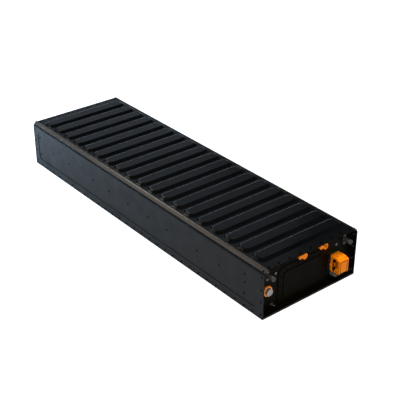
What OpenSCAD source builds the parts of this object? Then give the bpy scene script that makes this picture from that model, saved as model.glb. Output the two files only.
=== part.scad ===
// High-voltage battery pack: a long sealed sheet-metal box with a ribbed lid and a recessed connector end.
// The origin is under the middle of the pack on the floor, and the connector end faces -Y.
// Lengths named as depths are counted from the front plane of the box towards the back.

/* [Box] */
// Width over the two side plates
body_w = 700; // [690:1:720]
// Length from the front plane to the rear plate
body_l = 2336; // [2300:1:2400]
// Height to the top of the cover rails
body_h = 310; // [306:1:320]
// Width of the chamfer along each top edge
chamfer_w = 21; // [20:1:24]
// Sheet thickness of the side plates
side_t = 4; // [3.5:0.1:4.2]
// Sheet thickness of the end plates
pan_t = 3; // [2.5:0.1:3.5]
// Sheet thickness of the bottom plate
bottom_t = 3; // [2.5:0.1:3.5]
// Height of the bottom plate's upstands at the sides
upstand_h = 32; // [28:1:40]
// Height of the lip across the front of the bottom plate
front_lip_h = 12; // [9:1:14]
// Depth of the connector recess
recess_d = 40; // [36:1:44]

/* [Side panels] */
// How far the pressed panel is set in
panel_press = 3; // [2:0.1:3.5]
// Distance of the pressed panel from the front plane
panel_margin = 52; // [46:1:60]
// Lower edge of the pressed panel
panel_low = 52; // [46:1:60]
// Distance of the pressed panel's upper edge below the top of the rails
panel_top_gap = 62; // [58:1:70]
// Corner radius of the pressed panel
panel_r = 30; // [20:1:40]

/* [Cover rails] */
// Sheet thickness of the rails
rail_t = 3; // [2.5:0.1:3.2]
// Width of the flat strip on top of each rail
rail_flat = 7; // [6:0.5:9]
// How far the cover's seat lies below the top of the rails
seat_drop = 7; // [6.5:0.1:8]
// Width of the ledge that carries the cover
ledge_w = 26; // [22:1:30]

/* [Top cover] */
// Sheet thickness of the cover
cover_t = 2; // [1.5:0.1:2.5]
// Thickness of the cover gasket
gasket_t = 2; // [1.5:0.1:2.5]
// Gap between the cover's edge and the rail
cover_gap = 2; // [1.5:0.1:3]
// Number of raised pads
pad_count = 19; // [17:1:21]
// Distance from one pad to the next as a share of the box length
pad_pitch_share = 0.05; // [0.044:0.001:0.05]
// Gap between the ends of a pad and the cover's edge
pad_end_gap = 12; // [10:1:30]
// Width of a pad at its foot
pad_b = 97; // [88:1:98]
// Run of a pad's sloped side
pad_slope = 13.5; // [10:0.5:16]
// Height of a pad over the flange
pad_h = 14; // [10:0.5:18]
// Corner radius of a pad at its foot
pad_r = 34; // [28:1:40]

/* [Screws] */
// Diameter of the screw heads
head_d = 9.6; // [9:0.1:10.5]
// Height of the screw heads
head_h = 2; // [1.6:0.1:2.6]
// Diameter of the cover screws' heads
cover_head_d = 11.5; // [10:0.5:13]
// Height of the cover screws' heads
cover_head_h = 4; // [3:0.5:5]
// Diameter of the screw shanks
shank_d = 5; // [4.5:0.1:5.2]
// Distance of the end screw rows from the box's ends
end_row = 16; // [14:0.5:19]
// Spacing of the cover screws
cover_screw_pitch = 78; // [74:1:80]
// Spacing of the screws along the lower edge of the sides
side_screw_pitch = 78.4; // [76:0.1:80]
// Outer diameter of the clinch nuts
nut_d = 9; // [8.4:0.1:9.6]
// Length of the clinch nuts
nut_l = 14; // [12:0.5:15]

/* [Access cover] */
// Width of the access cover
access_w = 368; // [356:1:372]
// Height of the access cover
access_h = 236; // [230:1:238]
// Corner radius of the access cover
access_r = 46; // [36:1:56]
// Sheet thickness of the access cover
access_t = 3; // [2.5:0.1:3.5]
// How far the middle of the access cover stands out
access_rise = 3.5; // [2.5:0.1:4.5]

/* [High-voltage connector] */
// Width of the plug
plug_w = 70; // [66:1:74]
// Height of the plug
plug_h = 114; // [110:1:118]
// How far the plug body stands in front of the box
plug_front = 25; // [23:1:27]
// Thickness of each lever arm
arm_t = 7; // [6:0.5:7.5]
// Radius of the round ends of the lever
boss_r = 18; // [17:0.5:19]
// Radius of the pivot pins
pivot_r = 7; // [6:0.5:8]
// Radial play of the lever on its pins
pivot_play = 0.05; // [0.02:0.01:0.1]

/* [Fittings] */
// Outer diameter of the standoffs
standoff_d = 28; // [26:1:30]
// Radius of the thread in the standoffs
standoff_bore_r = 4; // [3:0.5:5]
// How far the standoffs reach in front of the box
standoff_reach = 12; // [8:1:15]
// Radius of the earth stud
stud_r = 4; // [3:0.5:5]
// Radius of the opening in the cable clip
clip_bore_r = 10.5; // [8:0.5:12]
// Thickness of the cable clips
clip_t = 12; // [10:1:14]

/* [Hidden] */
$fn = 48;

// Colours
col_black = [0.16, 0.17, 0.19];
col_panel = [0.1, 0.09, 0.08];
col_orange = [0.95, 0.45, 0.06];
col_zinc = [0.72, 0.7, 0.66];
col_green = [0.1, 0.45, 0.2];
col_grey = [0.45, 0.45, 0.46];
col_copper = [0.72, 0.45, 0.25];

// Main planes of the box
half_w = body_w / 2;
wall_in = half_w - side_t;
flange_in = wall_in - pan_t;
cap_t = 15;
front_reach = plug_front + cap_t;
front_y = -(body_l - front_reach) / 2;
root2 = sqrt(2);
hole_d = shank_d + 0.3;
// Fine joint between the sheets of one welded plate
weld_gap = 0.1;

// Side plate section
bend_r = 22;
top_x = half_w - chamfer_w;
rail_sum = top_x + body_h;
plate_sum = rail_sum - rail_t * root2;
bend_z = plate_sum - half_w - bend_r * tan(22.5);
web_x = top_x - rail_flat;
seat_z = body_h - seat_drop;
lap_play = 1;
plate_inner_sum = plate_sum - side_t * root2;
plate_end_z = plate_inner_sum - (web_x + rail_t + lap_play);
strip_run = chamfer_w - 6;
bend_steps = 6;
panel_high = body_h - panel_top_gap;
panel_mid = (panel_high + panel_low) / 2;

// Cover levels
flange_low = seat_z + gasket_t;
flange_top = flange_low + cover_t;
cover_half = web_x - cover_gap;
cover_end = 3;
pad_w = 2 * (cover_half - pad_end_gap);

// Screw rows
cover_corner_x = web_x - 18;
cover_screw_x = [-cover_corner_x, -3 * cover_screw_pitch, -2 * cover_screw_pitch, -cover_screw_pitch, 0,
    cover_screw_pitch, 2 * cover_screw_pitch, 3 * cover_screw_pitch, cover_corner_x];
rear_row = body_l - end_row - pan_t;
end_screw_low = 28;
end_screw_high = bend_z - 13.6;
end_screw_count = 4;
end_screw_z = [for (i = [0 : end_screw_count - 1])
    end_screw_low + i * (end_screw_high - end_screw_low) / (end_screw_count - 1)];
low_row_z = 16;
low_row_end = 81;
low_row_each = floor((body_l / 2 - low_row_end) / side_screw_pitch - 0.5);
beam_z = panel_mid + 10;
beam_shift = 60;
beam_inset = 304;
beam_mid = body_l / 2 + beam_shift;
beam_reach = body_l / 2 - beam_inset;
beam_shares = [-1, -0.778, -0.451, -0.235, 0, 0.235, 0.451, 0.778, 1];
front_trio_depth = 152;
front_trio_z = [panel_low + 42, beam_z + 1, panel_high - 33];
rear_pair_gap = 73;
rear_pair_z = [panel_low + 42, panel_high - 32];
rail_screw_x = top_x + strip_run * 0.72;
rail_screw_z = rail_sum - rail_screw_x;

// Recess panel
panel_back = recess_d + pan_t;
shelf_z = bottom_t + pan_t;
pan_corner_z = bend_z - 1;
side_flange_low = upstand_h + 1;
side_flange_high = bend_z - 5;
rear_flange = 38;

// Access cover placing
access_x = -27;
access_lift = 4;
access_z = shelf_z + access_lift + access_h / 2;
access_left = access_x - access_w / 2;
access_right = access_x + access_w / 2;
access_seal_t = 1.5;
access_back = recess_d - access_seal_t;
access_face = access_back - access_t;
access_open_w = access_w - 68;
access_open_h = access_h - 68;
access_open_r = 20;
plateau_w = access_w - 74;
plateau_h = access_h - 65;
plateau_r = access_r - 24;
access_row_z = access_h / 2 - 16;
access_col_x = access_w / 2 - 16;
access_row_reach = access_w / 2 - 56.5;
access_col_reach = access_h / 2 - 57;

// High-voltage connector
plug_x = access_right + 59;
plug_z = seat_z / 2 - 25.5;
plug_r = 16;
plug_low = plug_z - plug_h / 2;
plug_high = plug_z + plug_h / 2;
header_x = plug_x - 1;
header_z = plug_z - 1.5;
header_w = plug_w + 40;
header_h = plug_h + 13;
header_t = 6.5;
seal_w = header_w + 8;
seal_h = header_h + 8;
seal_t = 1.5;
header_back = recess_d - seal_t;
header_face = header_back - header_t;
header_open_w = header_w - 26;
header_open_h = header_h - 23;
header_open_r = 12;
header_tail = 14;
header_screw_dx = header_w / 2 - 8;
header_screw_dz = header_h / 2 - 8.5;
shell_wall = 6.5;
shell_front = -8;
nose_play = 0.5;
nose_half = plug_w / 2 - arm_t - 2 * nose_play;
nose_low = plug_low + 6;
nose_high = plug_high - 23;
collar_w = 2 * nose_half;
collar_h = plug_h - 12;
collar_t = 4;
collar_r = 8;
collar_front = -2;
collar_floor = 20;
pin_r = 8;
pin_dz = 26;
pin_tip = 4;
pin_tail = 74;

// Lever and cap of the plug
pivot_depth = 8 - plug_front;
pivot_z = plug_low + 20;
cap_seal_t = 4.5;
cap_gap = cap_seal_t + 0.5;
cap_w = plug_w - 2 * (arm_t + cap_gap);
cap_face = 0.5 - plug_front - cap_t;
bar_r = plug_high - pivot_z - 18.5;
cap_low = pivot_z - 1;
cap_high = pivot_z + bar_r - 9;
cap_r = 3;
nose_block_half = cap_w / 2 - 1;
arm_outer = plug_w / 2;
arm_inner = arm_outer - arm_t;
bar_gap = 1.2;
frame_high = plug_high - 16;
strip_back = 21;

// Trough under the plug
guard_h = 17;
guard_front = -14;
guard_half = plug_w / 2 - 2;
guard_wall = 4;

// Signal connector
signal_x = 58 - wall_in;
signal_z = seat_z / 2 - 10.5;
signal_d = 50;
collar_flat = signal_d + 10;
signal_hole_r = 22;
receptacle_d = signal_d - 3;
socket_d = signal_d - 14;

// Standoffs, stud, inserts, clips
standoff_x = wall_in - 56.5;
standoff_z = seat_z - 63;
foot_t = 3;
foot_w = 20;
foot_dz = 26;
thread_depth = 34;
stud_x = access_left - 43;
stud_z = 45;
stud_tip = 10;
insert_xs = [access_left - 17, access_right + 71];
insert_z = seat_z - 76.5;
insert_bore_r = 3;
clip_z = seat_z - 26;
clip_ring_z = clip_z - 4;
clip_reach = 34;
clip_ring_r = 17.5;
clip_lobe_r = 10.5;
mark_d = 6.5;
mark_depth = 5;
nut_low = seat_z - pan_t - nut_l;

// Inside
beam_w = 40;
beam_h = 30;
beam_half = wall_in - panel_press;
beam_hole = 18;
bulkhead_t = 12;
bulkhead_top = seat_z - 13;
bulkhead_bevel = 17;
screw_room = 14;
bay_front = front_trio_depth + bulkhead_t / 2;
bay_back = body_l - rear_pair_gap - bulkhead_t / 2;
module_count = 5;
module_pitch = (bay_back - bay_front) / module_count;
module_gap = 12;
module_half = wall_in - 38;
module_start_0 = bay_front + module_gap / 2;
pad_thick = 2;
lower_module_z = bottom_t + pad_thick;
lower_module_h = beam_z - beam_h / 2 - lower_module_z - 12;
upper_module_z = beam_z + beam_h / 2;
upper_module_h = seat_z - 12 - upper_module_z;
terminal_h = 6;
terminal_half = 12;
terminal_x = module_half - 58;
tray_t = 5;
tray_face = front_trio_depth - bulkhead_t / 2 - tray_t;
tray_x = access_x + 2;
tray_half = 175;
tray_low = shelf_z + 10;
tray_high = seat_z - 63;
tray_z = (tray_low + tray_high) / 2;

// Places a shape counted in depths from the front plane
module from_front() {
    translate([0, front_y, 0]) children();
}

// Draws a section of X and Z from depth a to depth b
module along_depth(a, b) {
    translate([0, b, 0]) rotate([90, 0, 0]) linear_extrude(height = b - a) children();
}

// Draws a section of depth and Z from x = a to x = b
module along_width(a, b) {
    translate([a, 0, 0]) rotate([90, 0, 90]) linear_extrude(height = b - a) children();
}

// Round bar along the depth
module rod_depth(x, z, a, b, d) {
    translate([x, b, z]) rotate([90, 0, 0]) cylinder(h = b - a, d = d);
}

// Round bar along the width
module rod_width(a, b, y, z, d) {
    translate([a, y, z]) rotate([0, 90, 0]) cylinder(h = b - a, d = d);
}

// Block between two corners
module block(low, high) {
    translate(low) cube(high - low);
}

// Rectangle with round corners about its middle
module round_rect(w, h, r) {
    square([w - 2 * r, h], center = true);
    square([w, h - 2 * r], center = true);
    for (sx = [-1, 1], sz = [-1, 1])
        translate([sx * (w / 2 - r), sz * (h / 2 - r)]) circle(r = r);
}

// Points of an arc, used for bends
function arc_points(cx, cz, r, a0, a1, n) =
    [for (i = [0 : n]) [cx + r * cos(a0 + (a1 - a0) * i / n), cz + r * sin(a0 + (a1 - a0) * i / n)]];

// Round head with a hexagon socket, its seat at z = 0 and its shank below
module screw(shank_l, head_w = head_d, head_t = head_h) {
    difference() {
        union() {
            cylinder(h = head_t, d = head_w, $fn = 24);
            translate([0, 0, -shank_l]) cylinder(h = shank_l + 0.5, d = shank_d, $fn = 16);
        }
        translate([0, 0, head_t / 3]) cylinder(h = head_t, d = head_w * 0.42, $fn = 6);
    }
}

// Depths of the screws along the lower edge
function low_row_depths() = concat(
    [low_row_end],
    [for (i = [-low_row_each : low_row_each]) body_l / 2 + i * side_screw_pitch],
    [body_l - low_row_end]);

// Depth and height of every screw on the flat border of a side
function border_screws() = concat(
    [for (z = end_screw_z) [end_row, z]],
    [for (z = end_screw_z) [rear_row, z]],
    [for (y = low_row_depths()) [y, low_row_z]]);

// Depth and height of every screw inside the pressed panel
function panel_screws() = concat(
    [for (k = beam_shares) [beam_mid + k * beam_reach, beam_z]],
    [for (z = front_trio_z) [front_trio_depth, z]],
    [for (z = rear_pair_z) [body_l - rear_pair_gap, z]]);

// Sheet with a lip across the front and an upstand along each side, all welded on
module bottom_plate() {
    color(col_black) from_front() difference() {
        union() {
            block([-wall_in, 0, 0], [wall_in, body_l, bottom_t]);
            block([weld_gap - flange_in, 0, bottom_t + weld_gap],
                [flange_in - weld_gap, bottom_t, front_lip_h]);
            for (s = [-1, 1])
                block([s > 0 ? flange_in : -wall_in, 0, bottom_t + weld_gap],
                    [s > 0 ? wall_in : -flange_in, body_l - pan_t, upstand_h]);
        }
        // Screw holes in the upstands
        for (p = border_screws())
            if (p[1] < upstand_h)
                rod_width(-half_w, half_w, p[0], p[1], hole_d);
        // Rivet holes along the front and rear edges
        for (x = cover_screw_x, y = [end_row, rear_row])
            translate([x, y, -1]) cylinder(h = bottom_t + 2, d = shank_d);
    }
}

// Right-hand side plate: folded section, pressed panel, screw holes
module side_plate_shape() {
    section = concat(
        [[half_w, 0]],
        arc_points(half_w - bend_r, bend_z, bend_r, 0, 45, bend_steps),
        [[plate_sum - plate_end_z, plate_end_z], [plate_inner_sum - plate_end_z, plate_end_z]],
        arc_points(half_w - bend_r, bend_z, bend_r - side_t, 45, 0, bend_steps),
        [[wall_in, 0]]);
    panel_l = body_l - 2 * panel_margin;
    panel_h = panel_high - panel_low;
    difference() {
        union() {
            along_depth(0, body_l) polygon(section);
            along_width(wall_in - panel_press, wall_in + 0.5)
                translate([body_l / 2, panel_mid])
                    round_rect(panel_l + side_t, panel_h + side_t, panel_r + side_t / 2);
        }
        along_width(half_w - panel_press, half_w + 1)
            translate([body_l / 2, panel_mid]) round_rect(panel_l, panel_h, panel_r);
        for (p = concat(border_screws(), panel_screws()))
            rod_width(wall_in - panel_press - 1, half_w + 1, p[0], p[1], hole_d);
        // Clearance holes under the rail screws
        for (y = [end_row, rear_row])
            translate([rail_screw_x, y, rail_screw_z]) rotate([0, 45, 0])
                translate([0, 0, -20]) cylinder(h = 30, d = hole_d);
    }
}

module left_side_plate() {
    color(col_black) from_front() mirror([1, 0, 0]) side_plate_shape();
}

module right_side_plate() {
    color(col_black) from_front() side_plate_shape();
}

// Right-hand rail: sloped strip over the side plate, flat top, web, ledge for the cover
module cover_rail_shape() {
    cap_section = [
        [web_x, seat_z - rail_t], [web_x, body_h], [top_x, body_h],
        [top_x + strip_run, body_h - strip_run],
        [top_x + strip_run - rail_t / root2, body_h - strip_run - rail_t / root2],
        [plate_sum - body_h + rail_t, body_h - rail_t], [web_x + rail_t, body_h - rail_t],
        [web_x + rail_t, seat_z - rail_t]];
    difference() {
        union() {
            along_depth(0, body_l) polygon(cap_section);
            block([web_x - ledge_w, panel_back, seat_z - rail_t],
                [web_x + rail_t, body_l - rear_flange, seat_z]);
        }
        for (y = [end_row, rear_row])
            translate([rail_screw_x, y, rail_screw_z]) rotate([0, 45, 0])
                translate([0, 0, -6]) cylinder(h = 12, d = hole_d);
    }
}

module left_cover_rail() {
    color(col_black) from_front() mirror([1, 0, 0]) cover_rail_shape();
}

module right_cover_rail() {
    color(col_black) from_front() cover_rail_shape();
}

// Outline of an end plate between the side plates, from z = low to the flange under the cover
function end_outline(low) =
    let (top = seat_z - pan_t - weld_gap, w = wall_in, in1 = 6, in2 = 19.5)
    [[-w, low], [w, low], [w, pan_corner_z], [w - in1, pan_corner_z + 13], [w - in2, top],
     [in2 - w, top], [in1 - w, pan_corner_z + 13], [-w, pan_corner_z]];

// Flanges welded around an end plate: two from depth a to b, one under the cover, one on the floor
module end_flanges(a, b, top_a, top_b, floor_a) {
    block([-web_x, top_a, seat_z - pan_t], [web_x, top_b, seat_z]);
    block([weld_gap - flange_in, floor_a, bottom_t], [flange_in - weld_gap, b, shelf_z]);
    for (s = [-1, 1])
        block([s > 0 ? flange_in : -wall_in, a, side_flange_low],
            [s > 0 ? wall_in : -flange_in, b, side_flange_high]);
}

// Room that an end plate leaves for the bottom plate's upstands
module upstand_room(a, b) {
    for (s = [-1, 1])
        block([s > 0 ? flange_in : -wall_in - 1, a, 0],
            [s > 0 ? wall_in + 1 : -flange_in, b, upstand_h]);
}

module front_end_plate() {
    color(col_panel) from_front() difference() {
        union() {
            along_depth(recess_d, panel_back) polygon(end_outline(bottom_t));
            end_flanges(0, recess_d - weld_gap, 0, panel_back, bottom_t + weld_gap);
        }
        upstand_room(-1, panel_back + 1);
        // Cover screws and shelf rivets
        for (x = cover_screw_x) {
            translate([x, end_row, seat_z - pan_t - 1]) cylinder(h = pan_t + 2, d = hole_d);
            translate([x, end_row, bottom_t - 1]) cylinder(h = pan_t + 2, d = shank_d);
        }
        for (z = end_screw_z)
            rod_width(-half_w, half_w, end_row, z, hole_d);
        // Openings in the panel
        along_depth(recess_d - 1, panel_back + 1)
            translate([access_x, access_z - 2]) round_rect(access_open_w, access_open_h, access_open_r);
        for (p = access_screw_places())
            rod_depth(p[0], p[1], recess_d - 1, panel_back + 1, nut_d);
        along_depth(recess_d - 1, panel_back + 1)
            translate([header_x, header_z]) round_rect(header_open_w, header_open_h, header_open_r);
        for (p = header_screw_places())
            rod_depth(p[0], p[1], recess_d - 1, panel_back + 1, hole_d);
        rod_depth(signal_x, signal_z, recess_d - 1, panel_back + 1, 2 * signal_hole_r);
        for (x = insert_xs)
            rod_depth(x, insert_z, recess_d - 1, panel_back + 1, nut_d + 0.2);
        for (s = [-1, 1], dz = [-foot_dz, foot_dz])
            rod_depth(s * standoff_x, standoff_z + dz, recess_d - 1, panel_back + 1, hole_d);
    }
}

module rear_end_plate() {
    color(col_black) from_front() difference() {
        union() {
            along_depth(body_l - pan_t, body_l) polygon(end_outline(bottom_t));
            end_flanges(body_l - rear_flange, body_l - pan_t - weld_gap, body_l - rear_flange, body_l,
                body_l - rear_flange);
        }
        for (x = cover_screw_x) {
            translate([x, rear_row, seat_z - pan_t - 1]) cylinder(h = pan_t + 2, d = hole_d);
            translate([x, rear_row, bottom_t - 1]) cylinder(h = pan_t + 2, d = shank_d);
        }
        for (z = end_screw_z)
            if (z > upstand_h)
                for (s = [-1, 1])
                    rod_width(s > 0 ? flange_in - 1 : -half_w, s > 0 ? half_w : 1 - flange_in,
                        rear_row, z, hole_d);
    }
}

// A raised pad as a frustum with round corners
module pad(w, b, h, r, facets) {
    linear_extrude(height = h, slices = 1, scale = [(w - 2 * pad_slope) / w, (b - 2 * pad_slope) / b])
        round_rect(w, b, r, $fn = facets);
}

module top_cover() {
    pad_pitch = body_l * pad_pitch_share;
    color(col_black) from_front() difference() {
        union() {
            block([-cover_half, cover_end, flange_low], [cover_half, body_l - cover_end, flange_top]);
            for (i = [0 : pad_count - 1])
                translate([0, body_l / 2 + (i - (pad_count - 1) / 2) * pad_pitch, flange_top - 0.01])
                    pad(pad_w, pad_b, pad_h + 0.01, pad_r, 32);
        }
        for (i = [0 : pad_count - 1])
            translate([0, body_l / 2 + (i - (pad_count - 1) / 2) * pad_pitch, flange_low - 0.01])
                pad(pad_w - cover_t, pad_b - cover_t, pad_h, pad_r - cover_t / 2, 16);
        for (x = cover_screw_x, y = [end_row, rear_row])
            translate([x, y, flange_low - 1]) cylinder(h = cover_t + 2, d = hole_d, $fn = 16);
    }
}

module cover_gasket() {
    inset = 1.5;
    color(col_panel) from_front() difference() {
        block([inset - cover_half, cover_end + inset, seat_z],
            [cover_half - inset, body_l - cover_end - inset, flange_low]);
        block([web_x - 0.85 * ledge_w, 0.9 * recess_d, seat_z - 1] - [2 * (web_x - 0.85 * ledge_w), 0, 0],
            [web_x - 0.85 * ledge_w, body_l - 0.9 * rear_flange, flange_low + 1]);
        for (x = cover_screw_x, y = [end_row, rear_row])
            translate([x, y, seat_z - 1]) cylinder(h = gasket_t + 2, d = hole_d);
    }
}

module cover_screws() {
    color(col_black) from_front()
        for (x = cover_screw_x, y = [end_row, rear_row])
            translate([x, y, flange_top]) screw(flange_top - nut_low - 1, cover_head_d, cover_head_h);
}

module side_screws() {
    color(col_black) from_front()
        for (s = [0, 1]) mirror([s, 0, 0]) {
            for (p = border_screws())
                translate([half_w, p[0], p[1]]) rotate([0, 90, 0]) screw(side_t + pan_t + 10);
            for (p = panel_screws())
                translate([half_w - panel_press, p[0], p[1]]) rotate([0, 90, 0]) screw(side_t + 8);
        }
}

module rail_screws() {
    color(col_black) from_front()
        for (s = [0, 1], y = [end_row, rear_row]) mirror([s, 0, 0])
            translate([rail_screw_x, y, rail_screw_z]) rotate([0, 45, 0]) screw(rail_t + side_t + 8);
}

// Plain barrel with a bore for the screw, standing from z = -l to 0
module nut_barrel(l) {
    difference() {
        translate([0, 0, -l]) cylinder(h = l, d = nut_d, $fn = 24);
        translate([0, 0, -l - 1]) cylinder(h = l + 2, d = shank_d + 0.1, $fn = 24);
    }
}

module clinch_nuts() {
    color(col_zinc) from_front() {
        for (x = cover_screw_x, y = [end_row, rear_row])
            translate([x, y, seat_z - pan_t]) nut_barrel(nut_l);
        for (s = [0, 1], z = end_screw_z) mirror([s, 0, 0])
            translate([flange_in, end_row, z]) rotate([0, 90, 0]) nut_barrel(nut_l - 2);
        for (p = access_screw_places())
            translate([p[0], access_back + access_seal_t, p[1]]) rotate([90, 0, 0]) nut_barrel(nut_l);
    }
}

module shelf_rivets() {
    color(col_black) from_front()
        for (x = cover_screw_x, y = [end_row, rear_row])
            translate([x, y, 0]) {
                cylinder(h = shelf_z + 0.5, d = shank_d - 0.1, $fn = 16);
                translate([0, 0, shelf_z]) cylinder(h = 1.5, d = head_d, $fn = 24);
            }
}

// Places of the access cover's screws as X and Z
function access_screw_places() = concat(
    [for (k = [-1, -1 / 3, 1 / 3, 1], s = [-1, 1])
        [access_x + k * access_row_reach, access_z + s * access_row_z]],
    [for (k = [-1, 0, 1], s = [-1, 1])
        [access_x + s * access_col_x, access_z + k * access_col_reach]]);

module access_cover() {
    color(col_panel) from_front() difference() {
        union() {
            along_depth(access_face, access_back)
                translate([access_x, access_z]) round_rect(access_w, access_h, access_r);
            along_depth(access_face - access_rise, access_back - 1)
                translate([access_x + 1, access_z - 2.5]) round_rect(plateau_w, plateau_h, plateau_r);
        }
        along_depth(access_back - access_rise, access_back + 1)
            translate([access_x + 1, access_z - 2.5])
                round_rect(plateau_w - 2 * access_t, plateau_h - 2 * access_t, plateau_r - access_t);
        for (p = access_screw_places())
            rod_depth(p[0], p[1], access_face - 1, access_back + 1, hole_d);
    }
}

module access_gasket() {
    color(col_panel) from_front() difference() {
        along_depth(access_back, recess_d)
            translate([access_x, access_z]) round_rect(access_w - 2, access_h - 2, access_r - 1);
        along_depth(access_back - 1, recess_d + 1)
            translate([access_x, access_z - 2]) round_rect(access_open_w, access_open_h, access_open_r);
        for (p = access_screw_places())
            rod_depth(p[0], p[1], access_back - 1, recess_d + 1, nut_d);
    }
}

module access_screws() {
    color(col_black) from_front()
        for (p = access_screw_places())
            translate([p[0], access_face, p[1]]) rotate([90, 0, 0]) screw(access_t + nut_l);
}

// Places of the header's screws as X and Z
function header_screw_places() =
    [for (sx = [-1, 1], sz = [-1, 1]) [header_x + sx * header_screw_dx, header_z + sz * header_screw_dz]];

module connector_seal() {
    color(col_green) from_front() difference() {
        along_depth(header_back, recess_d)
            translate([header_x, header_z]) round_rect(seal_w, seal_h, 14);
        along_depth(header_back - 1, recess_d + 1)
            translate([header_x, header_z]) round_rect(header_open_w, header_open_h, header_open_r);
        for (p = header_screw_places())
            rod_depth(p[0], p[1], header_back - 1, recess_d + 1, hole_d);
    }
}

module connector_header() {
    color(col_panel) from_front() difference() {
        union() {
            along_depth(header_face, header_back)
                translate([header_x, header_z]) round_rect(header_w, header_h, 11);
            along_depth(header_face, header_back + header_tail)
                translate([header_x, header_z]) round_rect(header_open_w - 2, header_open_h - 2, 11);
            along_depth(collar_front, header_back)
                translate([plug_x, plug_z]) round_rect(collar_w, collar_h, collar_r);
        }
        along_depth(collar_front - 1, collar_floor)
            translate([plug_x, plug_z])
                round_rect(collar_w - 2 * collar_t, collar_h - 2 * collar_t, 6);
        for (p = header_screw_places())
            rod_depth(p[0], p[1], header_face - 1, header_back + 1, hole_d);
        for (s = [-1, 1])
            rod_depth(plug_x, plug_z + s * pin_dz, collar_floor - 1, header_back + header_tail + 1,
                2 * pin_r + 0.1);
    }
}

module header_screws() {
    color(col_zinc) from_front()
        for (p = header_screw_places())
            translate([p[0], header_face, p[1]]) rotate([90, 0, 0]) screw(header_t + nut_l);
}

module contact_pins() {
    color(col_copper) from_front()
        for (s = [-1, 1])
            rod_depth(plug_x, plug_z + s * pin_dz, pin_tip, pin_tail, 2 * pin_r);
}

// Side view of the openings beside the lever as depth and Z
function window_outline() = [
    [strip_back, plug_low - 5], [strip_back, plug_high - 33], [5, plug_high - 17],
    [shell_front - 3, plug_high - 17], [shell_front - 3, plug_low - 5]];

module connector_plug() {
    color(col_orange) from_front() difference() {
        union() {
            along_depth(shell_front, header_face)
                translate([plug_x, plug_z]) round_rect(plug_w, plug_h, plug_r);
            block([plug_x - nose_block_half, -plug_front, nose_low],
                [plug_x + nose_block_half, shell_front + 1, nose_high]);
            // Pivot pins of the lever
            for (s = [-1, 1])
                rod_width(plug_x + (s > 0 ? nose_block_half - 1 : nose_play - arm_outer),
                    plug_x + (s > 0 ? arm_outer - nose_play : 1 - nose_block_half),
                    pivot_depth, pivot_z, 2 * pivot_r);
            // Keying rib
            block([plug_x - arm_outer - 5, header_face - 7, plug_z - 9],
                [plug_x - arm_outer + 1, header_face, plug_z - 3]);
        }
        // Hollow for the header's collar
        along_depth(collar_front - 1, header_face + 1)
            translate([plug_x, plug_z])
                round_rect(plug_w - 2 * shell_wall, plug_h - 10, plug_r - shell_wall);
        // Openings that leave room for the lever
        for (s = [-1, 1])
            difference() {
                along_width(plug_x + (s > 0 ? nose_half : -arm_outer - 1),
                    plug_x + (s > 0 ? arm_outer + 1 : -nose_half)) polygon(window_outline());
                rod_width(plug_x - arm_outer, plug_x + arm_outer, pivot_depth, pivot_z, 2 * pivot_r);
            }
        // Slots in the ends of the pivot pins
        for (s = [-1, 1])
            translate([plug_x + s * (arm_outer - nose_play), pivot_depth, pivot_z]) rotate([35, 0, 0])
                cube([2, 1.6, 1.5 * pivot_r], center = true);
    }
}

// Front outline of the cap, widened by grow on all sides
module cap_outline(grow) {
    translate([plug_x, (cap_high + cap_low) / 2])
        round_rect(cap_w + 2 * grow, cap_high - cap_low + 2 * grow, cap_r + grow);
}

module plug_cap() {
    color(col_orange) from_front() difference() {
        along_depth(cap_face, -plug_front) cap_outline(0);
        // Shallow flutes and marks on the face
        for (k = [-1, 0, 1])
            block([plug_x - 8 + 6 * k - 1.2, cap_face - 1, cap_low + 10],
                [plug_x - 8 + 6 * k + 1.2, cap_face + 0.8, cap_high - 10]);
        for (k = [-1, 0, 1])
            rod_depth(plug_x + 15, (cap_high + cap_low) / 2 + 18 * k, cap_face - 1, cap_face + 1, 4);
    }
}

// Black band around the cap
module cap_seal() {
    color(col_panel) from_front() difference() {
        along_depth(cap_face + 1, -plug_front - 0.2) cap_outline(cap_seal_t);
        along_depth(cap_face, 0) cap_outline(0);
    }
}

// Hook that stands in the plug's left opening
module plug_latch() {
    color(col_orange) from_front()
        along_width(plug_x - arm_outer + 3.5, plug_x - nose_half)
            translate([shell_front, plug_z])
                polygon([[21, -14], [21, -9], [14, -5], [13, 1], [20, 7], [18, 13], [9, 15], [7, 11],
                    [14, 9], [9, 3], [9, -6], [15, -13]]);
}

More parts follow.
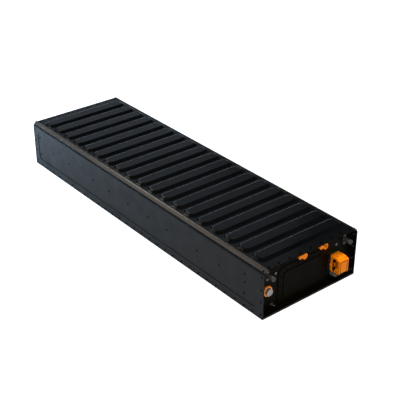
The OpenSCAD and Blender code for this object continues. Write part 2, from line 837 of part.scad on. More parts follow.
module connector_lever() {
    front = -plug_front - cap_t;
    back = shell_front - bar_gap;
    outer = [
        [back, plug_high], [back - 5, plug_high], [back - 11, plug_high - 5],
        [-plug_front, frame_high + 1], [front, frame_high]];
    arm_side = concat(outer, [
        [front, pivot_z - 3], [front + 6, pivot_z - 11], [pivot_depth, pivot_z],
        [3 - plug_front, pivot_z + 16], [3 - plug_front, plug_high - 25],
        [shell_front - 4, plug_high - 13], [back, plug_high - 11]]);
    color(col_orange) from_front() difference() {
        intersection() {
            union() {
                for (s = [-1, 1])
                    along_width(plug_x + (s > 0 ? arm_inner : -arm_outer),
                        plug_x + (s > 0 ? arm_outer : -arm_inner)) {
                        polygon(arm_side);
                        translate([pivot_depth, pivot_z]) circle(r = boss_r);
                    }
                // Bar across the top, hollowed along an arc about the pivot
                difference() {
                    along_width(plug_x - arm_outer, plug_x + arm_outer)
                        polygon(concat(outer, [[front, plug_high - 34], [back, plug_high - 34]]));
                    rod_width(plug_x - arm_inner, plug_x + arm_inner, pivot_depth, pivot_z, 2 * bar_r);
                    for (s = [-1, 1])
                        block([plug_x + (s > 0 ? arm_inner : -plug_w), -2 * plug_front, 0],
                            [plug_x + (s > 0 ? plug_w : -arm_inner), 0, plug_high - 22]);
                }
            }
            along_depth(-2 * plug_front, 10)
                translate([plug_x, plug_z]) round_rect(plug_w, plug_h, plug_r);
        }
        rod_width(plug_x - plug_w, plug_x + plug_w, pivot_depth, pivot_z,
            2 * (pivot_r + pivot_play));
    }
}

// Grey trough under the plug, carried by the header's flange
module connector_guard() {
    low = plug_low - guard_h;
    side = [[header_face, low], [header_face, plug_low], [6, plug_low], [guard_front + 2, low + 12],
        [guard_front, low + 6], [guard_front + 5, low]];
    color(col_grey) from_front() difference() {
        along_width(plug_x - guard_half, plug_x + guard_half) polygon(side);
        block([plug_x - guard_half + guard_wall, guard_front - 1, low + guard_wall],
            [plug_x + guard_half - guard_wall, header_face - guard_wall, plug_low + 1]);
    }
}

// Octagon with the given width over its flats
module octagon(flat) {
    rotate([0, 0, 22.5]) circle(d = flat / cos(22.5), $fn = 8);
}

module signal_collar() {
    color(col_orange) from_front() difference() {
        along_depth(recess_d - 10, recess_d)
            translate([signal_x, signal_z]) intersection() {
                octagon(collar_flat);
                circle(d = collar_flat + 3);
            }
        rod_depth(signal_x, signal_z, recess_d - 11, recess_d + 1, signal_d);
    }
}

module signal_seal() {
    color(col_zinc) from_front() difference() {
        rod_depth(signal_x, signal_z, recess_d - 11, recess_d, signal_d);
        rod_depth(signal_x, signal_z, recess_d - 12, recess_d + 1, receptacle_d);
    }
}

module signal_receptacle() {
    color(col_panel) from_front() difference() {
        union() {
            rod_depth(signal_x, signal_z, recess_d - 4, recess_d, receptacle_d - 0.2);
            rod_depth(signal_x, signal_z, recess_d - 14, recess_d + 20, 2 * signal_hole_r - 2);
        }
        rod_depth(signal_x, signal_z, recess_d - 15, recess_d - 3, socket_d);
    }
}

module signal_cap() {
    color(col_zinc) from_front() {
        difference() {
            rod_depth(signal_x, signal_z, recess_d - 25, recess_d - 14, socket_d + 7);
            rod_depth(signal_x, signal_z, recess_d - 21, recess_d, socket_d - 0.4);
            rod_depth(signal_x, signal_z, recess_d - 26, recess_d - 24.2, socket_d - 3);
        }
        difference() {
            rod_depth(signal_x, signal_z, recess_d - 22, recess_d - 3, socket_d - 0.2);
            rod_depth(signal_x, signal_z, recess_d - 21, recess_d, socket_d - 6);
        }
    }
}

module standoff_shape(x) {
    difference() {
        union() {
            rod_depth(x, standoff_z, -standoff_reach, recess_d, standoff_d);
            along_depth(recess_d - foot_t, recess_d)
                translate([x, standoff_z]) round_rect(foot_w, 2 * foot_dz + foot_w, foot_w / 2 - 1);
        }
        rod_depth(x, standoff_z, -standoff_reach - 1, thread_depth - standoff_reach, 2 * standoff_bore_r);
        for (dz = [-foot_dz, foot_dz])
            rod_depth(x, standoff_z + dz, recess_d - foot_t - 1, recess_d + 1, hole_d);
    }
}

module left_standoff() {
    color(col_grey) from_front() standoff_shape(-standoff_x);
}

module right_standoff() {
    color(col_grey) from_front() standoff_shape(standoff_x);
}

module standoff_screws() {
    color(col_zinc) from_front()
        for (s = [-1, 1], dz = [-foot_dz, foot_dz])
            translate([s * standoff_x, recess_d - foot_t, standoff_z + dz]) rotate([90, 0, 0])
                screw(foot_t + nut_l);
}

module earth_stud() {
    color(col_zinc) from_front() {
        rod_depth(stud_x, stud_z, recess_d - 6, recess_d, 18);
        rod_depth(stud_x, stud_z, stud_tip, recess_d - 5, 2 * stud_r);
    }
}

module panel_inserts() {
    color(col_zinc) from_front()
        for (x = insert_xs)
            difference() {
                union() {
                    rod_depth(x, insert_z, recess_d - 1.2, recess_d, nut_d + 5);
                    rod_depth(x, insert_z, recess_d - 1, recess_d + 16, nut_d);
                }
                rod_depth(x, insert_z, recess_d - 2, recess_d + 17, 2 * insert_bore_r);
            }
}

// Clip that hangs on the end of a clinch nut: cuff, lobe, arm and ring
module clip_shape(x) {
    difference() {
        union() {
            along_depth(end_row - clip_t / 2, end_row + clip_t / 2) {
                translate([x, clip_z]) circle(r = clip_lobe_r);
                translate([x + clip_reach, clip_ring_z]) circle(r = clip_ring_r);
                polygon([[x, clip_z - 5], [x, clip_z + 9], [x + clip_reach, clip_ring_z + 12],
                    [x + clip_reach, clip_ring_z - 8]]);
            }
            translate([x, end_row, clip_z]) cylinder(h = seat_z - pan_t - clip_z, d = nut_d + 6);
        }
        translate([x, end_row, nut_low]) cylinder(h = nut_l + 1, d = nut_d + 0.1);
    }
}

module left_cable_clip() {
    color(col_orange) from_front() difference() {
        clip_shape(-cover_screw_pitch);
        // Two blind marks on the closed ring
        for (dx = [-5, 5])
            rod_depth(clip_reach - cover_screw_pitch + dx, clip_ring_z, end_row - clip_t / 2 - 1,
                end_row - clip_t / 2 + mark_depth, mark_d);
    }
}

module right_cable_clip() {
    color(col_orange) from_front() difference() {
        clip_shape(cover_screw_pitch);
        rod_depth(cover_screw_pitch + clip_reach, clip_ring_z, end_row - clip_t, end_row + clip_t,
            2 * clip_bore_r);
    }
}

module cross_beams() {
    color(col_grey) from_front()
        for (k = beam_shares)
            translate([0, beam_mid + k * beam_reach, beam_z]) difference() {
                cube([2 * beam_half, beam_w, beam_h], center = true);
                translate([0, 0, -3])
                    cube([2 * (beam_half - beam_hole - 2), beam_w - 6, beam_h], center = true);
                for (s = [-1, 1])
                    rod_width(s > 0 ? beam_half - beam_hole : -beam_half - 1,
                        s > 0 ? beam_half + 1 : beam_hole - beam_half, 0, 0, hole_d);
            }
}

// Cross wall behind depth y with screw holes at the given heights
module bulkhead_shape(y, heights) {
    edge_z = bend_z - 1;
    difference() {
        along_depth(y - bulkhead_t / 2, y + bulkhead_t / 2)
            polygon([[-beam_half, bottom_t], [beam_half, bottom_t], [beam_half, edge_z],
                [beam_half - bulkhead_bevel, bulkhead_top], [bulkhead_bevel - beam_half, bulkhead_top],
                [-beam_half, edge_z]]);
        // Clearance of the bottom plate's upstands and of the screws in them
        for (s = [-1, 1])
            block([s > 0 ? flange_in - screw_room : -wall_in - 1, y - bulkhead_t, 0],
                [s > 0 ? wall_in + 1 : screw_room - flange_in, y + bulkhead_t, upstand_h + 1]);
        for (z = heights, s = [-1, 1])
            rod_width(s > 0 ? beam_half - beam_hole : -beam_half - 1,
                s > 0 ? beam_half + 1 : beam_hole - beam_half, y, z, hole_d);
    }
}

module front_bulkhead() {
    color(col_grey) from_front() difference() {
        bulkhead_shape(front_trio_depth, front_trio_z);
        // Passages for the main busbars
        for (s = [-1, 1])
            block([s * terminal_x - 25, front_trio_depth - bulkhead_t, seat_z - 78],
                [s * terminal_x + 25, front_trio_depth + bulkhead_t, seat_z - 28]);
    }
}

module rear_bulkhead() {
    color(col_grey) from_front() bulkhead_shape(body_l - rear_pair_gap, rear_pair_z);
}

// Front edge of module number i, counted from 0
function module_start(i) = module_start_0 + i * module_pitch;

module thermal_pads() {
    color([0.55, 0.6, 0.68]) from_front()
        for (i = [0 : module_count - 1])
            block([-module_half, module_start(i), bottom_t],
                [module_half, module_start(i) + module_pitch - module_gap, lower_module_z]);
}

// Battery module: closed housing with two terminals and cell grooves on its lid
module battery_module(i, z, h) {
    l = module_pitch - module_gap;
    lid = z + h - terminal_h;
    difference() {
        union() {
            block([-module_half, module_start(i), z], [module_half, module_start(i) + l, lid]);
            for (s = [-1, 1])
                block([s * terminal_x - terminal_half, module_start(i) + 8, lid - 1],
                    [s * terminal_x + terminal_half, module_start(i) + 32, z + h]);
        }
        // Grooves between the cell stacks
        for (k = [1 : 7])
            block([-module_half + 20, module_start(i) + k * l / 8 - 1, lid + 3 - terminal_h],
                [terminal_x - 2 * terminal_half, module_start(i) + k * l / 8 + 1, lid + 1]);
    }
}

module lower_module(i) {
    color([0.3, 0.33, 0.38]) from_front() battery_module(i, lower_module_z, lower_module_h);
}

module upper_module(i) {
    color([0.3, 0.33, 0.38]) from_front() battery_module(i, upper_module_z, upper_module_h);
}

module module_links() {
    color(col_copper) from_front()
        for (i = [0 : module_count - 2], s = [-1, 1]) {
            y = module_start(i) + 10;
            z = upper_module_z + upper_module_h;
            block([s * terminal_x - 8, y, z], [s * terminal_x + 8, y + module_pitch + 20, z + 2]);
        }
}

module junction_tray() {
    color(col_grey) from_front()
        block([tray_x - tray_half, tray_face, tray_low],
            [tray_x + tray_half, tray_face + tray_t, tray_high]);
}

// Block on the tray from x = a to b and z = c to d about its middle, standing out by reach
module tray_block(a, b, c, d, reach) {
    block([tray_x + a, tray_face - reach, tray_z + c], [tray_x + b, tray_face, tray_z + d]);
}

module contactors() {
    color([0.2, 0.2, 0.22]) from_front()
        for (x = [-35, 65])
            difference() {
                tray_block(x - 30, x + 30, 2, 82, 60);
                translate([0, -40, 0]) tray_block(x - 3, x + 3, 62, 83, 21);
            }
}

module main_fuse() {
    color([0.85, 0.83, 0.78]) from_front() {
        rod_width(tray_x - 20, tray_x + 60, tray_face - 22, tray_z - 38, 44);
        tray_block(-45, -19, -53, -23, 25);
        tray_block(59, 85, -53, -23, 25);
    }
}

module precharge_resistor() {
    color([0.7, 0.7, 0.72]) from_front() tray_block(110, 150, -68, 2, 24);
}

module current_sensor() {
    color([0.15, 0.15, 0.16]) from_front() difference() {
        tray_block(110, 150, 22, 72, 40);
        rod_width(tray_x + 105, tray_x + 155, tray_face - 20, tray_z + 47, 22);
    }
}

module battery_controller() {
    color([0.2, 0.22, 0.25]) from_front() tray_block(-165, -80, -78, 92, 35);
}

module output_busbars() {
    color(col_copper) from_front()
        for (s = [-1, 1])
            difference() {
                block([plug_x - 14, pin_tail, plug_z + s * pin_dz - 12],
                    [plug_x + 60, pin_tail + 4, plug_z + s * pin_dz + 12]);
                rod_depth(plug_x + 48, plug_z + s * pin_dz, pin_tail - 1, pin_tail + 5, 8.5);
            }
}

bottom_plate();
left_side_plate();
right_side_plate();
left_cover_rail();
right_cover_rail();
front_end_plate();
rear_end_plate();
top_cover();
cover_gasket();
cover_screws();
side_screws();
rail_screws();
clinch_nuts();
shelf_rivets();
access_cover();
access_gasket();
access_screws();
connector_seal();
connector_header();
header_screws();
contact_pins();
connector_plug();
plug_cap();
cap_seal();
plug_latch();
connector_lever();
connector_guard();
signal_collar();
signal_seal();
signal_receptacle();
signal_cap();
left_standoff();
right_standoff();
standoff_screws();
earth_stud();
panel_inserts();
left_cable_clip();
right_cable_clip();
cross_beams();
front_bulkhead();
rear_bulkhead();
thermal_pads();
lower_module(0);  // lower_module_1
lower_module(1);  // lower_module_2
lower_module(2);  // lower_module_3
lower_module(3);  // lower_module_4
lower_module(4);  // lower_module_5
upper_module(0);  // upper_module_1
upper_module(1);  // upper_module_2
upper_module(2);  // upper_module_3
upper_module(3);  // upper_module_4
upper_module(4);  // upper_module_5
module_links();
junction_tray();
contactors();
main_fuse();
precharge_resistor();
current_sensor();
battery_controller();
output_busbars();
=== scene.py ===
from math import radians

import bmesh
import bpy
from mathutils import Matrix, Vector


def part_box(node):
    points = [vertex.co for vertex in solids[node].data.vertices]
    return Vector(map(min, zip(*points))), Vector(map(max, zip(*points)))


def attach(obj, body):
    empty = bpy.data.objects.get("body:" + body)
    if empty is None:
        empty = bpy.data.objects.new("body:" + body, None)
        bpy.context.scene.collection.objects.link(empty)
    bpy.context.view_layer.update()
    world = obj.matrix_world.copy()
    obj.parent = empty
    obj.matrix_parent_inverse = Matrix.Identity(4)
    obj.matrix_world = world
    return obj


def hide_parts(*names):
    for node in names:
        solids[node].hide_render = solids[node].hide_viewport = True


# The solid model of the pack, in metres. It stands on the floor at z = 0 with its
# connector end towards -Y.
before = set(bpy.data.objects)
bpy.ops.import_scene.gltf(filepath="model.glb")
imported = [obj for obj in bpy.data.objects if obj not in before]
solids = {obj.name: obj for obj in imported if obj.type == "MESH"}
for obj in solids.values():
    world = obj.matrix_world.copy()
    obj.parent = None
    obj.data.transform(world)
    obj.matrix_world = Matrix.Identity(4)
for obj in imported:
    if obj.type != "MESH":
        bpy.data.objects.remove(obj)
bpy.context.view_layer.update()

# Camera: an 85 mm lens that looks down on the connector end and the left side,
# with the whole pack running away to the back left.
look_down = 29.633
look_right = 38.869
lens = bpy.data.cameras.new("camera")
lens.lens = 85
lens.sensor_width = 36
camera = bpy.data.objects.new("camera", lens)
camera.location = (-3.1346, -4.0775, 3.0240)
camera.rotation_euler = (radians(90 - look_down), 0, radians(-look_right))
bpy.context.scene.collection.objects.link(camera)
bpy.context.scene.camera = camera
bpy.context.scene.view_settings.view_transform = "Standard"

# Floor and backdrop: one matt sheet under the pack. The camera sees it near white, and it
# keeps a faint shadow of the pack. Glossy surfaces mirror it only as the lamps light it,
# because a white mirror image turns the black coats grey.
floor_half_width = 30
floor_gap = 0.0005
floor_grey = 0.26
floor_white = 0.97
bm = bmesh.new()
bmesh.ops.create_grid(bm, x_segments=1, y_segments=1, size=floor_half_width)
floor_mesh = bpy.data.meshes.new("floor")
bm.to_mesh(floor_mesh)
bm.free()
floor = bpy.data.objects.new("floor", floor_mesh)
floor.location = (0, 0, -floor_gap)
bpy.context.scene.collection.objects.link(floor)
pale = bpy.data.materials.new("pale_floor")
pale.use_nodes = True
tree = pale.node_tree
tree.nodes.clear()
matte = tree.nodes.new("ShaderNodeBsdfDiffuse")
matte.inputs["Color"].default_value = (floor_grey, floor_grey, floor_grey, 1)
glow = tree.nodes.new("ShaderNodeEmission")
rays = tree.nodes.new("ShaderNodeLightPath")
seen = tree.nodes.new("ShaderNodeMath")
seen.operation = "MULTIPLY"
seen.inputs[1].default_value = floor_white
both = tree.nodes.new("ShaderNodeAddShader")
out = tree.nodes.new("ShaderNodeOutputMaterial")
tree.links.new(rays.outputs["Is Camera Ray"], seen.inputs[0])
tree.links.new(seen.outputs[0], glow.inputs["Strength"])
tree.links.new(matte.outputs[0], both.inputs[0])
tree.links.new(glow.outputs[0], both.inputs[1])
tree.links.new(both.outputs[0], out.inputs["Surface"])
floor_mesh.materials.append(pale)

# Room light: dim and a little cool on the pack, and pale where the camera looks past
# the floor.
room_tint = (0.86, 0.92, 1.0, 1)
room_strength = 0.02
world = bpy.data.worlds.new("room")
bpy.context.scene.world = world
world.use_nodes = True
tree = world.node_tree
tree.nodes.clear()
room = tree.nodes.new("ShaderNodeBackground")
room.inputs["Color"].default_value = room_tint
room.inputs["Strength"].default_value = room_strength
backdrop = tree.nodes.new("ShaderNodeBackground")
backdrop.inputs["Strength"].default_value = 1.0
rays = tree.nodes.new("ShaderNodeLightPath")
pick = tree.nodes.new("ShaderNodeMixShader")
out = tree.nodes.new("ShaderNodeOutputWorld")
tree.links.new(rays.outputs["Is Camera Ray"], pick.inputs[0])
tree.links.new(room.outputs[0], pick.inputs[1])
tree.links.new(backdrop.outputs[0], pick.inputs[2])
tree.links.new(pick.outputs[0], out.inputs["Surface"])


# Lamps: a cool one for the floor beside the long side, two broad ones and a low strip
# behind the pack that show in the lid, a small high one for the pads' rims, a warm one for
# the sloped rails, and two for the connector end. A call gives place, aim, size and watts.
def panel_lamp(name, place, target, size, power, tint, mirrored=True):
    lamp = bpy.data.lights.new(name, "AREA")
    lamp.shape = "RECTANGLE"
    lamp.size, lamp.size_y = size
    lamp.energy = power
    lamp.color = tint
    holder = bpy.data.objects.new(name, lamp)
    holder.location = place
    holder.rotation_euler = (Vector(target) - Vector(place)).to_track_quat("-Z", "Y").to_euler()
    holder.visible_glossy = mirrored
    bpy.context.scene.collection.objects.link(holder)


panel_lamp("floor_panel", (-1.6, 3.5, 1.3), (-1.2, 3.0, 0), (1.4, 1.4), 560, (0.56, 0.77, 1.0), False)
panel_lamp("rear_panel", (2.4, 6.4, 3.1), (0, 0, 0.3), (5.0, 1.8), 6, (0.72, 0.86, 1.0))
panel_lamp("upper_rear_panel", (4.0, 6.2, 5.6), (0, 0, 0.3), (5.0, 2.4), 6, (0.76, 0.88, 1.0))
panel_lamp("horizon_strip", (4.4, 6.6, 1.1), (0, 0, 0.3), (6.0, 1.4), 52, (0.78, 0.88, 1.0))
panel_lamp("rim_panel", (-0.2, 5.0, 5.4), (0, 0, 0.3), (1.6, 1.2), 34, (1.0, 0.94, 0.88))
panel_lamp("overhead_panel", (-0.3, -1.2, 5.6), (0, -0.8, 0.3), (1.6, 3.0), 330, (1.0, 0.97, 0.94), False)
panel_lamp("slope_panel", (-2.9, 3.7, 3.3), (-0.3, 0, 0.3), (3.0, 1.6), 7, (1.0, 0.86, 0.72))
panel_lamp("front_panel", (-1.2, -4.8, 2.0), (0.1, -1.1, 0.12), (1.8, 1.0), 125, (1.0, 0.96, 0.90), False)

# Box: two long sides of folded sheet with a pressed panel, and a rear end and a bottom
# that are welded from sheets. All have a satin black powder coat that is a little uneven
# and has a fine orange-peel skin.
merge_within = 2e-6
flat_to = 0.6
sharp_from = 35
flush = 1e-5
fold_steps = 2
bend_steps = 4
side_edge = 0.0011
rear_edge = 0.0008
bottom_edge = 0.0006
panel_bend = 0.0026
panel_margin = 0.045
panel_bottom = 0.045
panel_top = 0.26


def new_material(name):
    mat = bpy.data.materials.new(name)
    mat.use_nodes = True
    return mat, mat.node_tree, mat.node_tree.nodes["Principled BSDF"]


def grain(tree, scale, detail=3.0, rough=0.55, stretch=(1, 1, 1)):
    place = tree.nodes.new("ShaderNodeTexCoord")
    turn = tree.nodes.new("ShaderNodeMapping")
    turn.inputs["Scale"].default_value = stretch
    noise = tree.nodes.new("ShaderNodeTexNoise")
    noise.inputs["Scale"].default_value = scale
    noise.inputs["Detail"].default_value = detail
    noise.inputs["Roughness"].default_value = rough
    tree.links.new(place.outputs["Object"], turn.inputs["Vector"])
    tree.links.new(turn.outputs[0], noise.inputs["Vector"])
    return noise.outputs["Fac"]


def spread(tree, source, low, high, start=0.35, end=0.65):
    span = tree.nodes.new("ShaderNodeMapRange")
    span.inputs["From Min"].default_value = start
    span.inputs["From Max"].default_value = end
    span.inputs["To Min"].default_value = low
    span.inputs["To Max"].default_value = high
    tree.links.new(source, span.inputs["Value"])
    return span.outputs[0]


def mottle(tree, shader, dark, light, scale, detail=3.0, stretch=(1, 1, 1)):
    cloud = spread(tree, grain(tree, scale, detail, stretch=stretch), 0, 1)
    mix = tree.nodes.new("ShaderNodeMix")
    mix.data_type = "RGBA"
    mix.inputs["A"].default_value = (*dark, 1)
    mix.inputs["B"].default_value = (*light, 1)
    tree.links.new(cloud, mix.inputs["Factor"])
    tree.links.new(mix.outputs["Result"], shader.inputs["Base Color"])


def uneven_gloss(tree, shader, low, high, scale, stretch=(1, 1, 1)):
    rough = spread(tree, grain(tree, scale, stretch=stretch), low, high)
    tree.links.new(rough, shader.inputs["Roughness"])


def relief(tree, shader, height, strength, distance=0.0001):
    bump = tree.nodes.new("ShaderNodeBump")
    bump.inputs["Strength"].default_value = strength
    bump.inputs["Distance"].default_value = distance
    tree.links.new(height, bump.inputs["Height"])
    tree.links.new(bump.outputs[0], shader.inputs["Normal"])


def powder_coat(name, dark, light, rough_low, rough_high, shine=0.5):
    mat, tree, shader = new_material(name)
    mottle(tree, shader, dark, light, scale=5.0, detail=4.0)
    uneven_gloss(tree, shader, rough_low, rough_high, scale=12.0)
    shader.inputs["Specular IOR Level"].default_value = shine
    relief(tree, shader, grain(tree, 500.0, detail=2.0), strength=0.006, distance=0.0002)
    return mat


def merged_copy(node):
    bm = bmesh.new()
    bm.from_mesh(solids[node].data)
    bmesh.ops.remove_doubles(bm, verts=bm.verts, dist=merge_within)
    bmesh.ops.dissolve_limit(bm, angle_limit=radians(flat_to), verts=bm.verts, edges=bm.edges)
    return bm


def sharp_edges(bm):
    return [e for e in bm.edges if len(e.link_faces) == 2 and e.calc_face_angle() > radians(sharp_from)]


# The clamp narrows all of a piece's roundings to what its shortest edges leave room for,
# so the edges of most pieces come out far finer than the width that is asked for.
def round_edges(bm, edges, width, steps, clamp=True):
    bmesh.ops.bevel(bm, geom=edges, offset=width, offset_type="OFFSET", segments=steps, profile=0.5,
                    affect="EDGES", clamp_overlap=clamp, material=-1)


def add_piece(name, bm, mat, body, node, smooth_to=32):
    mesh = bpy.data.meshes.new(name)
    bm.to_mesh(mesh)
    bm.free()
    mesh.materials.append(mat)
    mesh.shade_smooth()
    mesh.set_sharp_from_angle(angle=radians(smooth_to))
    piece = bpy.data.objects.new(name, mesh)
    bpy.context.scene.collection.objects.link(piece)
    even = piece.modifiers.new("even_shading", "WEIGHTED_NORMAL")
    even.keep_sharp = True
    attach(piece, body)
    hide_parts(node)


def eased(node, edge, mat, body="pack", bend_at=None, bend=0.0):
    bm = merged_copy(node)
    if bend_at:
        bends = [e for e in sharp_edges(bm) if all(bend_at(v.co) for v in e.verts)]
        round_edges(bm, bends, bend, bend_steps)
    round_edges(bm, sharp_edges(bm), edge, fold_steps)
    add_piece(node + "_finished", bm, mat, body, node)


side_low, side_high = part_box("left_side_plate")


def on_panel_rim(place):
    on_face = abs(abs(place.x) + side_low[0]) < flush
    in_length = side_low[1] + panel_margin < place.y < side_high[1] - panel_margin
    return on_face and in_length and panel_bottom < place.z < panel_top


side_coat = powder_coat("side_powder_coat", dark=(0.0026, 0.0028, 0.0033), light=(0.0042, 0.0046, 0.0052),
                        rough_low=0.36, rough_high=0.46)
for plate in ("left_side_plate", "right_side_plate"):
    eased(plate, side_edge, side_coat, bend_at=on_panel_rim, bend=panel_bend)
eased("rear_end_plate", rear_edge, side_coat)
eased("bottom_plate", bottom_edge, side_coat)


# Frame inside the box: cross beams, bulkheads and the junction tray, of extruded or cut
# aluminium with the mill finish left on, drawn out across the pack.
def coat_solids(mat, *nodes):
    for node in nodes:
        solids[node].data.materials.clear()
        solids[node].data.materials.append(mat)


drawn_across = (0.05, 1, 1)
mill, tree, shader = new_material("mill_aluminium")
mottle(tree, shader, (0.46, 0.46, 0.48), (0.56, 0.56, 0.58), scale=30.0, stretch=drawn_across)
shader.inputs["Metallic"].default_value = 1.0
uneven_gloss(tree, shader, 0.34, 0.5, scale=220.0, stretch=drawn_across)
coat_solids(mill, "cross_beams", "front_bulkhead", "rear_bulkhead", "junction_tray")

# Battery modules: ten closed housings of grey polymer in two layers, with a fine satin
# grain from the mould.
case, tree, shader = new_material("module_housing")
mottle(tree, shader, (0.070, 0.080, 0.098), (0.092, 0.104, 0.125), scale=14.0)
uneven_gloss(tree, shader, 0.42, 0.55, scale=60.0)
relief(tree, shader, grain(tree, 1100.0), strength=0.2)
for layer in ("lower", "upper"):
    for number in range(1, 6):
        coat_solids(case, f"{layer}_module_{number}")

# Copper parts: the links between the modules, the main busbars and the contact pins,
# all bright and lightly brushed along the pack.
copper, tree, shader = new_material("tinned_copper")
mottle(tree, shader, (0.66, 0.36, 0.18), (0.78, 0.45, 0.24), scale=40.0, stretch=(1, 0.1, 1))
shader.inputs["Metallic"].default_value = 1.0
uneven_gloss(tree, shader, 0.22, 0.36, scale=150.0)
coat_solids(copper, "contact_pins", "module_links", "output_busbars")

# Devices on the junction tray: contactors, current sensor and controller in dark
# satin housings, a glazed fuse tube and a resistor in an anodised body.
housing, tree, shader = new_material("device_housing")
mottle(tree, shader, (0.024, 0.024, 0.029), (0.036, 0.036, 0.042), scale=50.0)
uneven_gloss(tree, shader, 0.4, 0.55, scale=160.0)
coat_solids(housing, "contactors", "current_sensor", "battery_controller")
glaze, tree, shader = new_material("glazed_ceramic")
mottle(tree, shader, (0.66, 0.64, 0.58), (0.74, 0.72, 0.66), scale=45.0)
shader.inputs["Roughness"].default_value = 0.2
coat_solids(glaze, "main_fuse")
anodised, tree, shader = new_material("anodised_aluminium")
mottle(tree, shader, (0.50, 0.50, 0.52), (0.60, 0.60, 0.62), scale=90.0)
shader.inputs["Metallic"].default_value = 1.0
shader.inputs["Roughness"].default_value = 0.42
coat_solids(anodised, "precharge_resistor")

# Cover rails: folded strips along the two top edges, with a glossier coat. Their colour is a
# lighter, warmer black than the sides', as painted reflection of a warm light. The fold between
# the flat top and the slope is a full bend that catches the light.
rail_edge = 0.0014
rail_bend = 0.0050
crest_width = 0.018
rail_low, rail_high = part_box("left_cover_rail")


def on_rail_crest(place):
    return place.z > rail_high[2] - flush and abs(place.x) > abs(rail_low[0]) - crest_width


# Base colour far lighter and warmer than the side coat: painted reflection of a warm light on a black coat.
rail_coat_painted_reflection = powder_coat("rail_powder_coat_painted_reflection", dark=(0.032, 0.027, 0.022), light=(0.037, 0.031, 0.025),
                        rough_low=0.17, rough_high=0.22, shine=1.0)
for rail in ("left_cover_rail", "right_cover_rail"):
    eased(rail, rail_edge, rail_coat_painted_reflection, bend_at=on_rail_crest, bend=rail_bend)

# Connector end: a pan welded from sheets, and the access cover that is screwed on it
# over a thin gasket. Both are a duller black than the sides, with a brown tint in the colour
# that is painted reflection of warm light.
pan_edge = 0.0007
access_edge = 0.0008
# Brown tint in the base colour: painted reflection of warm light.
end_coat_painted_warm_tint = powder_coat("end_coat_painted_warm_tint", dark=(0.0020, 0.0014, 0.0004), light=(0.0032, 0.0023, 0.0009),
                       rough_low=0.34, rough_high=0.44, shine=0.08)
eased("front_end_plate", pan_edge, end_coat_painted_warm_tint)
eased("access_cover", access_edge, end_coat_painted_warm_tint)

# Top cover: one pressed sheet with raised pads. Each pad's rim and foot are rounded
# by the press, and the coat is glossier than on the sides.
pad_bend = 0.0045
pad_wall_from = 20
pad_wall_to = 70
pad_smooth_to = 40
cover_coat = powder_coat("cover_powder_coat", dark=(0.0015, 0.0017, 0.0019), light=(0.0024, 0.0027, 0.0030),
                         rough_low=0.17, rough_high=0.22)
bm = merged_copy("top_cover")
rims = [e for e in bm.edges
        if len(e.link_faces) == 2 and radians(pad_wall_from) < e.calc_face_angle() < radians(pad_wall_to)
        and abs(e.verts[0].co.z - e.verts[1].co.z) < flush]
round_edges(bm, rims, pad_bend, bend_steps, clamp=False)
add_piece("top_cover_finished", bm, cover_coat, "pack", "top_cover", smooth_to=pad_smooth_to)

# Fasteners on the outside of the box: steel button-head screws with a hexagon socket,
# and the rivets along the ends of the bottom, all coated a dull black.
screw_black, tree, shader = new_material("black_oxide")
mottle(tree, shader, (0.0008, 0.0008, 0.0008), (0.0022, 0.0022, 0.0024), scale=260.0)
shader.inputs["Specular IOR Level"].default_value = 0.06
shader.inputs["Roughness"].default_value = 0.55
relief(tree, shader, grain(tree, 1500.0), strength=0.1)
coat_solids(screw_black, "cover_screws", "side_screws", "rail_screws", "shelf_rivets", "access_screws",
            "header_screws")

# Clinch nuts: dark zinc-nickel barrels pressed into the flanges of the end pans and
# behind the access cover, where the screws run into them.
dark_zinc, tree, shader = new_material("dark_zinc")
mottle(tree, shader, (0.03, 0.03, 0.03), (0.05, 0.05, 0.05), scale=180.0)
shader.inputs["Metallic"].default_value = 0.5
uneven_gloss(tree, shader, 0.4, 0.5, scale=90.0)
coat_solids(dark_zinc, "clinch_nuts")

# Bright fasteners: the screws in the feet of the standoffs and the two inserts of the
# front pan, of zinc-plated steel.
zinc, tree, shader = new_material("zinc_plate")
mottle(tree, shader, (0.42, 0.41, 0.38), (0.58, 0.56, 0.52), scale=180.0)
shader.inputs["Metallic"].default_value = 1.0
uneven_gloss(tree, shader, 0.3, 0.48, scale=90.0)
relief(tree, shader, grain(tree, 1200.0), strength=0.12)
coat_solids(zinc, "standoff_screws", "panel_inserts")

# Earth stud: a zinc-plated boss on the pan with a rolled thread in front of it,
# turned here as one profile about the stud's axis.
thread_r = 0.004
thread_pitch = 0.00125
thread_depth = 0.0006
unthreaded_length = 0.0075
tip_face = 0.0012
tip_slope = 0.0008
boss_length = 0.0058
boss_slope = 0.0006
stud_sides = 40
low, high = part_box("earth_stud")
stud_x = (low[0] + high[0]) / 2
stud_z = (low[2] + high[2]) / 2
boss_r = (high[0] - low[0]) / 2
boss_front = high[1] - boss_length
outline = [(0.0, low[1]), (thread_r - tip_face, low[1]),
           (thread_r - tip_face + tip_slope, low[1] + tip_slope)]
root_y = low[1] + 2 * tip_slope
while root_y < high[1] - unthreaded_length:
    outline += [(thread_r - thread_depth, root_y), (thread_r, root_y + thread_pitch / 2)]
    root_y += thread_pitch
outline += [(thread_r, boss_front), (boss_r - boss_slope, boss_front), (boss_r, boss_front + boss_slope),
            (boss_r, high[1])]
bm = bmesh.new()
verts = [bm.verts.new((stud_x + r, y, stud_z)) for r, y in outline]
for one, two in zip(verts, verts[1:]):
    bm.edges.new((one, two))
bmesh.ops.spin(bm, geom=bm.verts[:] + bm.edges[:], cent=(stud_x, 0, stud_z), axis=(0, 1, 0), dvec=(0, 0, 0),
               angle=radians(360), steps=stud_sides, use_merge=True, use_duplicate=False)
bmesh.ops.remove_doubles(bm, verts=bm.verts, dist=merge_within)
bmesh.ops.holes_fill(bm, edges=[e for e in bm.edges if len(e.link_faces) == 1], sides=0)
bmesh.ops.recalc_face_normals(bm, faces=bm.faces)
add_piece("earth_stud_threaded", bm, zinc, "pack", "earth_stud")

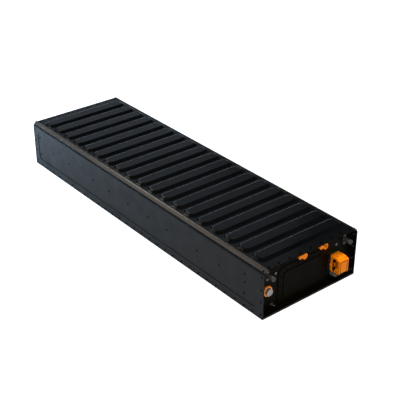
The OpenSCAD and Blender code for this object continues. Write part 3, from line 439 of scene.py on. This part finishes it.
# Standoffs: steel tubes with a bore for a screw and a foot plate that is screwed to the
# front pan. The steel is passivated and has fine marks drawn along the tube.
standoff_edge = 0.0008
drawn_along = (1, 0.05, 1)
passive, tree, shader = new_material("passivated_steel")
mottle(tree, shader, (0.050, 0.050, 0.052), (0.075, 0.075, 0.078), scale=60.0)
shader.inputs["Metallic"].default_value = 0.15
shader.inputs["Roughness"].default_value = 0.38
relief(tree, shader, grain(tree, 700.0, detail=2.0, rough=0.5, stretch=drawn_along), strength=0.1)
for node in ("left_standoff", "right_standoff"):
    eased(node, standoff_edge, passive)

# Orange mouldings: plug, cap, lever and latch of the power connector, the collar of the
# signal connector and the two cable clips. All are moulded in one orange polymer.
plug_edge = 0.0012
cap_edge = 0.001
latch_edge = 0.0008
collar_edge = 0.001
clip_edge = 0.0014
orange, tree, shader = new_material("orange_moulding")
mottle(tree, shader, (0.88, 0.215, 0.003), (0.98, 0.265, 0.006), scale=40.0)
shader.inputs["Specular IOR Level"].default_value = 0.3
uneven_gloss(tree, shader, 0.38, 0.5, scale=120.0)
relief(tree, shader, grain(tree, 1800.0, detail=2.0), strength=0.15)
eased("connector_plug", plug_edge, orange)
eased("plug_cap", cap_edge, orange)
eased("connector_lever", plug_edge, orange, body="lever")
eased("plug_latch", latch_edge, orange)
eased("signal_collar", collar_edge, orange)
for clip in ("left_cable_clip", "right_cable_clip"):
    eased(clip, clip_edge, orange)


# Black and grey mouldings: the header that the plug sits on, the receptacle of the
# signal connector, and the grey trough under the plug. They have a fine mould grain.
def moulding(name, dark, light):
    mat, tree, shader = new_material(name)
    mottle(tree, shader, dark, light, scale=70.0)
    shader.inputs["Specular IOR Level"].default_value = 0.15
    uneven_gloss(tree, shader, 0.42, 0.55, scale=200.0)
    relief(tree, shader, grain(tree, 1600.0), strength=0.2)
    return mat


header_edge = 0.0006
receptacle_edge = 0.0005
trough_edge = 0.0006
black_plastic = moulding("black_moulding", dark=(0.0035, 0.0038, 0.0045), light=(0.006, 0.0065, 0.0075))
grey_plastic = moulding("grey_moulding", dark=(0.10, 0.10, 0.105), light=(0.15, 0.15, 0.155))
eased("connector_header", header_edge, black_plastic)
eased("signal_receptacle", receptacle_edge, black_plastic)
eased("connector_guard", trough_edge, grey_plastic)

# Cap of the signal connector: a round piece of aluminium, left bare, with fine marks
# drawn along its axis.
signal_cap_edge = 0.0008
silver, tree, shader = new_material("turned_aluminium")
shader.inputs["Base Color"].default_value = (0.78, 0.79, 0.8, 1)
shader.inputs["Metallic"].default_value = 1.0
uneven_gloss(tree, shader, 0.22, 0.36, scale=150.0)
relief(tree, shader, grain(tree, 900.0, detail=2.0, rough=0.5, stretch=drawn_along), strength=0.1)
eased("signal_cap", signal_cap_edge, silver)


# Rubber: green face seal of the power connector, pale ring of the signal connector,
# black gaskets, the plug cap's black band, and the soft pads under the modules. The black
# rubber is black, and darker still as painted shade that deepens the plug cap's band.
def rubber(name, dark, light):
    mat, tree, shader = new_material(name)
    mottle(tree, shader, dark, light, scale=120.0)
    shader.inputs["Roughness"].default_value = 0.62
    shader.inputs["Specular IOR Level"].default_value = 0.15
    relief(tree, shader, grain(tree, 1400.0), strength=0.2)
    return mat


coat_solids(rubber("green_rubber", (0.001, 0.030, 0.004), (0.002, 0.042, 0.006)), "connector_seal")
coat_solids(rubber("pale_rubber", (0.5, 0.48, 0.42), (0.58, 0.56, 0.5)), "signal_seal")
# Black rubber made darker than rubber is: painted shade that deepens the band round the plug cap.
coat_solids(rubber("black_rubber_with_painted_shade", (0.002, 0.002, 0.002), (0.004, 0.004, 0.004)),
            "cover_gasket", "access_gasket", "cap_seal")
coat_solids(rubber("thermal_pad", (0.3, 0.34, 0.42), (0.36, 0.4, 0.48)), "thermal_pads")
